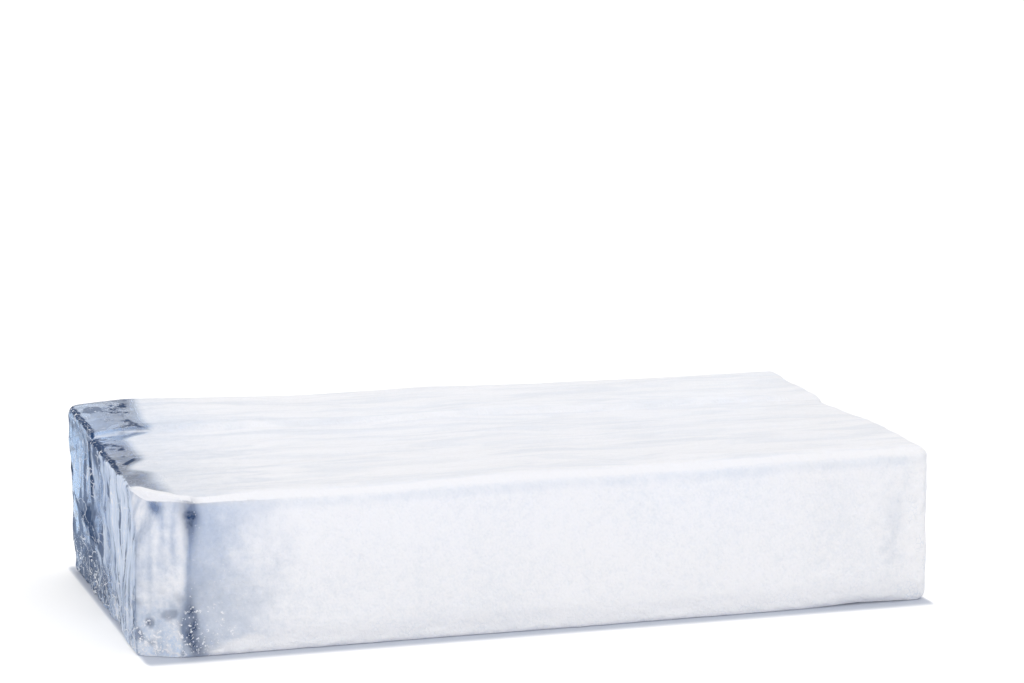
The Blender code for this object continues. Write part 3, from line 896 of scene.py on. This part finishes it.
# %% How much skin
haze = (drips - 0.5) * 0.45 * on.corner + (stipple - 0.5) * (0.16 + on.corner * 0.12)
haze = haze + ((runs - 0.5) * 1.25 + (drips - 0.5) * 0.9) * on.fluted
broken = on.frost.most(on.rime) + haze + on.top * on.frost.step(0.7, 1.0) * (streaks - 0.5) * 0.40
tone = ice.blend(on.top, gaps * 1.3 + stipple * 1.8 - 0.55, facets * 1.7 - 0.25)
bold = (on.dark + (gaps - 0.5) * 0.9 + (stipple - 0.5) * 0.9).step(0.62, 0.92)
bold = bold * on.fluted.most(on.top - on.rime)
# How much painted dark: the mesh's painted dark, painted shade between the runs, and bold strokes of it.
painted_dark_share = (on.dark * tone * (1.0 - on.fluted)).most(shade_between_runs * 0.85).most(bold)
painted_dark_share = painted_dark_share.most(rib_shade_lines * 0.6).clamped()
skin = broken.step(0.06, 0.94).most(lit_runs * 0.35).most(painted_dark_share * 0.95).most(chips * 0.9)
skin = skin.most(flecks * 0.8).most(crest_highlights * 0.75).most(rib_highlight_lines * 0.7).clamped()
print(len(ice.tree.nodes), "nodes with the skin's mask")

# %% The clear ice
WET_STRENGTH, WET_DEPTH = 1.0, 0.010

wet = ((bowl * bowl - 0.12) * 0.9 + (ribs - 0.5) * 0.8) * on.fluted
wet = wet + (drips - 0.5) * 0.35 * on.corner + (cloud - 0.5) * 0.14
tint = ice.blend(on.fluted * 0.7, CLEAR_TINT, END_TINT)
# Clear ice takes the painted dark where the painted dark share is high.
clear = ice.node("ShaderNodeBsdfPrincipled", {}, {
    "Base Color": ice.blend(painted_dark_share, tint, CLEAR_PAINTED_DARK), "Roughness": cloud * 0.06 + 0.01,
    "IOR": ICE_INDEX, "Transmission Weight": 1.0, "Normal": ice.bump(wet, WET_STRENGTH, WET_DEPTH)})
print("clear ice: index", ICE_INDEX, "and waves up to", WET_DEPTH * 1000, "mm deep")

# %% The skin's colour
patches = stipple * 0.4 + grain * 0.3 + cloud * 0.3
patches = streaks.step(0.35, 0.60) * on.top * 0.8 + patches.step(0.34, 0.58) * (1.0 - on.top * 0.8)
white = ice.blend((patches + on.crumbly * 0.5).most(on.rime).clamped(), SHADED_FROST, BRIGHT_FROST)
white = ice.blend(painted_hollow_shade, white, EDGE_SHADE)
white = ice.blend(broken.step(0.90, 0.35) * (1.0 - on.rime), white, THIN_FROST)
white = ice.blend(on.corner * on.bubbles * stipple.step(0.62, 0.38) * 0.6, white, LOW_BLUE)
white = ice.blend(on.fluted * (0.95 - lit_runs * 0.5), white, END_MILK)
# The skin takes the painted dark, then the brightest marks: bubbles, chips and painted highlights.
bright = (flecks + crest_highlights + chips + rib_highlight_lines * 0.7).clamped()
white = ice.blend((painted_dark_share * (1.0 - bright)).clamped(), white, SKIN_PAINTED_DARK)
white = ice.blend(bright, white, BRIGHT_FROST)
print(len(ice.tree.nodes), "nodes with the skin's colour")

# %% The skin, and both together
DRY_STRENGTH, DRY_DEPTH = 0.7, 0.0030
SKIN_SEE_THROUGH, SKIN_SHINE = 0.24, 0.05

dry = stipple * (on.crumbly * 0.5 + 0.8) + grain * 0.4 + streaks * on.top * 0.5
frost_skin = ice.node("ShaderNodeBsdfPrincipled", {}, {
    "Base Color": white, "Roughness": stipple * 0.3 + 0.35, "IOR": ICE_INDEX,
    "Transmission Weight": SKIN_SEE_THROUGH, "Specular IOR Level": SKIN_SHINE,
    "Normal": ice.bump(dry, DRY_STRENGTH, DRY_DEPTH)})
surface = ice.node("ShaderNodeMixShader", {}, {0: skin, 1: clear, 2: frost_skin})
inside = ice.node("ShaderNodeVolumeAbsorption", {}, {"Color": DEEP_BLUE, "Density": BLUE_DENSITY})
ice.node("ShaderNodeOutputMaterial", {}, {"Surface": surface, "Volume": inside})

block.data.materials.append(material)
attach(block, "root")
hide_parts("ice_block")
print("ice:", len(ice.tree.nodes), "nodes,", len(ice.tree.links), "links")

# %% [markdown]
# ## The studio
# Clear things are lit by what stands round them. The floor, the backdrop and the half of the room behind
# the camera are white, and so is everything overhead. In between, at both sides, the room is dark near
# the horizon, with upright white strips in that dark, so that the clear end's flutes catch both light
# and dark. The floor glows for the camera, as a white sweep does, and a painted contact shadow darkens
# it in a thin line round the block's foot. Where the ice reflects the floor or is seen through to it, the
# floor's paint turns a darker blue.

# %% The floor's paint
FLOOR_GREY, SHADOW_GREY = (0.76, 0.76, 0.765, 1.0), (0.40, 0.43, 0.50, 1.0)
FLOOR_IN_THE_ICE, SEEN_THROUGH = (0.42, 0.58, 0.80, 1.0), 0.4
ROOM_GLOW, CAMERA_GLOW = (0.60, 0.59, 0.58, 1.0), (1.0, 0.99, 0.98, 1.0)
SHADOW_GLOW, GLOW_STRENGTH, FLOOR_ROUGHNESS = (0.22, 0.23, 0.26, 1.0), 0.28, 0.6
ENDS_MELTED, SHADOW_REACH, NARROWER_AT_ENDS = 0.010, 0.036, 3.0
SHADOW_POWER, SHADOW_GLOW_SHARE = 3.0, 0.9


def floor_material():
    """White paint; its painted contact shadow fades with the squared distance from the block's outline.
    """
    material = bpy.data.materials.new("pale studio floor")
    material.use_nodes = True
    sheet = Sheet(material.node_tree)
    in_gloss = sheet.node("ShaderNodeLightPath", out="Is Glossy Ray")
    in_ice = in_gloss.other_output("Is Transmission Ray")
    by_camera = in_gloss.other_output("Is Camera Ray")
    where = sheet.node("ShaderNodeTexCoord", out="Object")
    where_x = sheet.node("ShaderNodeSeparateXYZ", {}, {"Vector": where}, out="X")
    past_x = where_x.math("ABSOLUTE", where_x) - (LENGTH / 2 - ENDS_MELTED)
    past_y = where_x.math("ABSOLUTE", where_x.other_output("Y")) - DEPTH / 2
    away = (past_x * NARROWER_AT_ENDS).most(0.0) ** 2.0 + past_y.most(0.0) ** 2.0
    # A painted contact shadow: greyer paint and a dimmer glow close round the block's foot.
    contact_shadow = away.step(SHADOW_REACH ** 2, 0.0)
    colour = sheet.blend(contact_shadow ** SHADOW_POWER, FLOOR_GREY, SHADOW_GREY)
    colour = sheet.blend(in_gloss.most(in_ice * SEEN_THROUGH), colour, FLOOR_IN_THE_ICE)
    glow = sheet.blend(by_camera, ROOM_GLOW, CAMERA_GLOW)
    glow = sheet.blend(contact_shadow ** SHADOW_POWER * SHADOW_GLOW_SHARE, glow, SHADOW_GLOW)
    paint = sheet.node("ShaderNodeBsdfPrincipled", {}, {
        "Base Color": colour, "Roughness": FLOOR_ROUGHNESS, "Emission Color": glow,
        "Emission Strength": GLOW_STRENGTH})
    sheet.node("ShaderNodeOutputMaterial", {}, {"Surface": paint})
    return material


floor_paint = floor_material()
print("paint:", len(floor_paint.node_tree.nodes), "nodes")

# %% The floor
FLOOR_HALF, FLOOR_DROP = 40.0, 0.0006


def floor_plane():
    """A square at the block's foot, FLOOR_DROP below it so that the two faces don't fight."""
    mesh = bpy.data.meshes.new("studio floor")
    low, high = -FLOOR_HALF, FLOOR_HALF
    corners = [(low, low), (high, low), (high, high), (low, high)]
    mesh.from_pydata([(x, y, -FLOOR_DROP) for x, y in corners], [], [(0, 1, 2, 3)])
    mesh.materials.append(floor_paint)
    floor = bpy.data.objects.new("studio_floor", mesh)
    scene.collection.objects.link(floor)
    return floor


floor_plane()
print("floor of", 2 * FLOOR_HALF, "m")

# %% The room's light
OVERHEAD_FROM = (0.08, 0.42)  # heights of a direction, as the sine of its angle above the horizon
BACKDROP_TALL, BACKDROP_LOW = (0.08, 0.34), 0.45
AHEAD_X, AHEAD_Y = 0.306, 0.952  # the way the camera looks, on the ground
BACKDROP_SHARE, BEHIND_CAMERA = (0.80, 0.93), (0.25, 0.05)
STRIPS_ROUND, STRIP_EDGE, STRIP_SHARE = 22.0, (0.55, 0.95), 0.8
ROOM_DARK, ROOM_WHITE = (0.02, 0.04, 0.09, 1.0), (1.0, 1.0, 1.0, 1.0)
ROOM_STRENGTH, SEEN_STRENGTH = 1.12, 1.1


def studio_world():
    """The lightest of overhead, backdrop, behind the camera, and strips; plain white to the camera."""
    world = bpy.data.worlds.new("white studio")
    world.use_nodes = True
    sheet = Sheet(world.node_tree)
    way = sheet.node("ShaderNodeTexCoord", out="Generated")
    up = sheet.node("ShaderNodeSeparateXYZ", {}, {"Vector": way}, out="Z")
    way_x, way_y = up.other_output("X"), up.other_output("Y")
    facing = way_x * AHEAD_X + way_y * AHEAD_Y
    backdrop = up.step(*BACKDROP_TALL) * (1.0 - BACKDROP_LOW) + BACKDROP_LOW
    backdrop = (facing.step(*BACKDROP_SHARE) * backdrop).most(facing.step(*BEHIND_CAMERA))
    turn = up.math("ARCTAN2", way_x, way_y)
    strips = up.math("SINE", turn * STRIPS_ROUND).step(*STRIP_EDGE)
    light = up.step(*OVERHEAD_FROM).most(backdrop).most(strips * STRIP_SHARE)
    seen = sheet.node("ShaderNodeLightPath", out="Is Camera Ray")
    room = sheet.node("ShaderNodeBackground", {}, {
        "Color": sheet.blend(light, ROOM_DARK, ROOM_WHITE), "Strength": ROOM_STRENGTH})
    plain = sheet.node("ShaderNodeBackground", {}, {"Color": ROOM_WHITE, "Strength": SEEN_STRENGTH})
    mixed = sheet.node("ShaderNodeMixShader", {}, {0: seen, 1: room, 2: plain})
    sheet.node("ShaderNodeOutputWorld", {}, {"Surface": mixed})
    return world


scene.world = studio_world()
print("room:", len(scene.world.node_tree.nodes), "nodes")

# %% The soft light
SOFTBOX_AT, SOFTBOX_AIM = np.array((-0.6, -3.2, 2.4)), np.array((0.0, 0.0, 0.1))
SOFTBOX_SIZE, SOFTBOX_WATTS = 2.4, 20.0

softbox = bpy.data.objects.new("front softbox", bpy.data.lights.new("front softbox", "AREA"))
softbox.data.size, softbox.data.energy = SOFTBOX_SIZE, SOFTBOX_WATTS
# It shines down its own -Z, so it tilts and turns until its Z is the line back from its aim.
back = SOFTBOX_AT - SOFTBOX_AIM
tilt, turn = math.atan2(math.hypot(back[X], back[Y]), back[Z]), math.atan2(back[X], -back[Y])
softbox.location, softbox.rotation_euler = SOFTBOX_AT, (tilt, 0.0, turn)
scene.collection.objects.link(softbox)
print("softbox tilted", round(math.degrees(tilt), 1), "degrees")

# %% [markdown]
# ## The camera
# The block is seen from a little above, with its clear end nearest on the left. A long lens keeps its
# sides almost parallel. Light crosses the rough skin and leaves again, so rays may bounce often.

# %% The camera
LENS_MM, SENSOR_MM = 108.45, 36.0
CAMERA_AT, CAMERA_TILT, CAMERA_TURN = (-1.1671, -3.7190, 0.912), 81.337, -17.831
MOST_BOUNCES = 12

camera = bpy.data.objects.new("camera", bpy.data.cameras.new("camera"))
camera.data.lens, camera.data.sensor_width = LENS_MM, SENSOR_MM
camera.location = CAMERA_AT
camera.rotation_euler = (math.radians(CAMERA_TILT), 0.0, math.radians(CAMERA_TURN))
scene.collection.objects.link(camera)
scene.camera = camera

view = scene.view_settings
view.view_transform, view.look = "Standard", "None"
scene.cycles.max_bounces = MOST_BOUNCES
scene.cycles.transmission_bounces = MOST_BOUNCES
print("camera", round(math.dist(CAMERA_AT, (0.0, 0.0, 0.1)), 2), "m from the block's middle")

# %% [markdown]
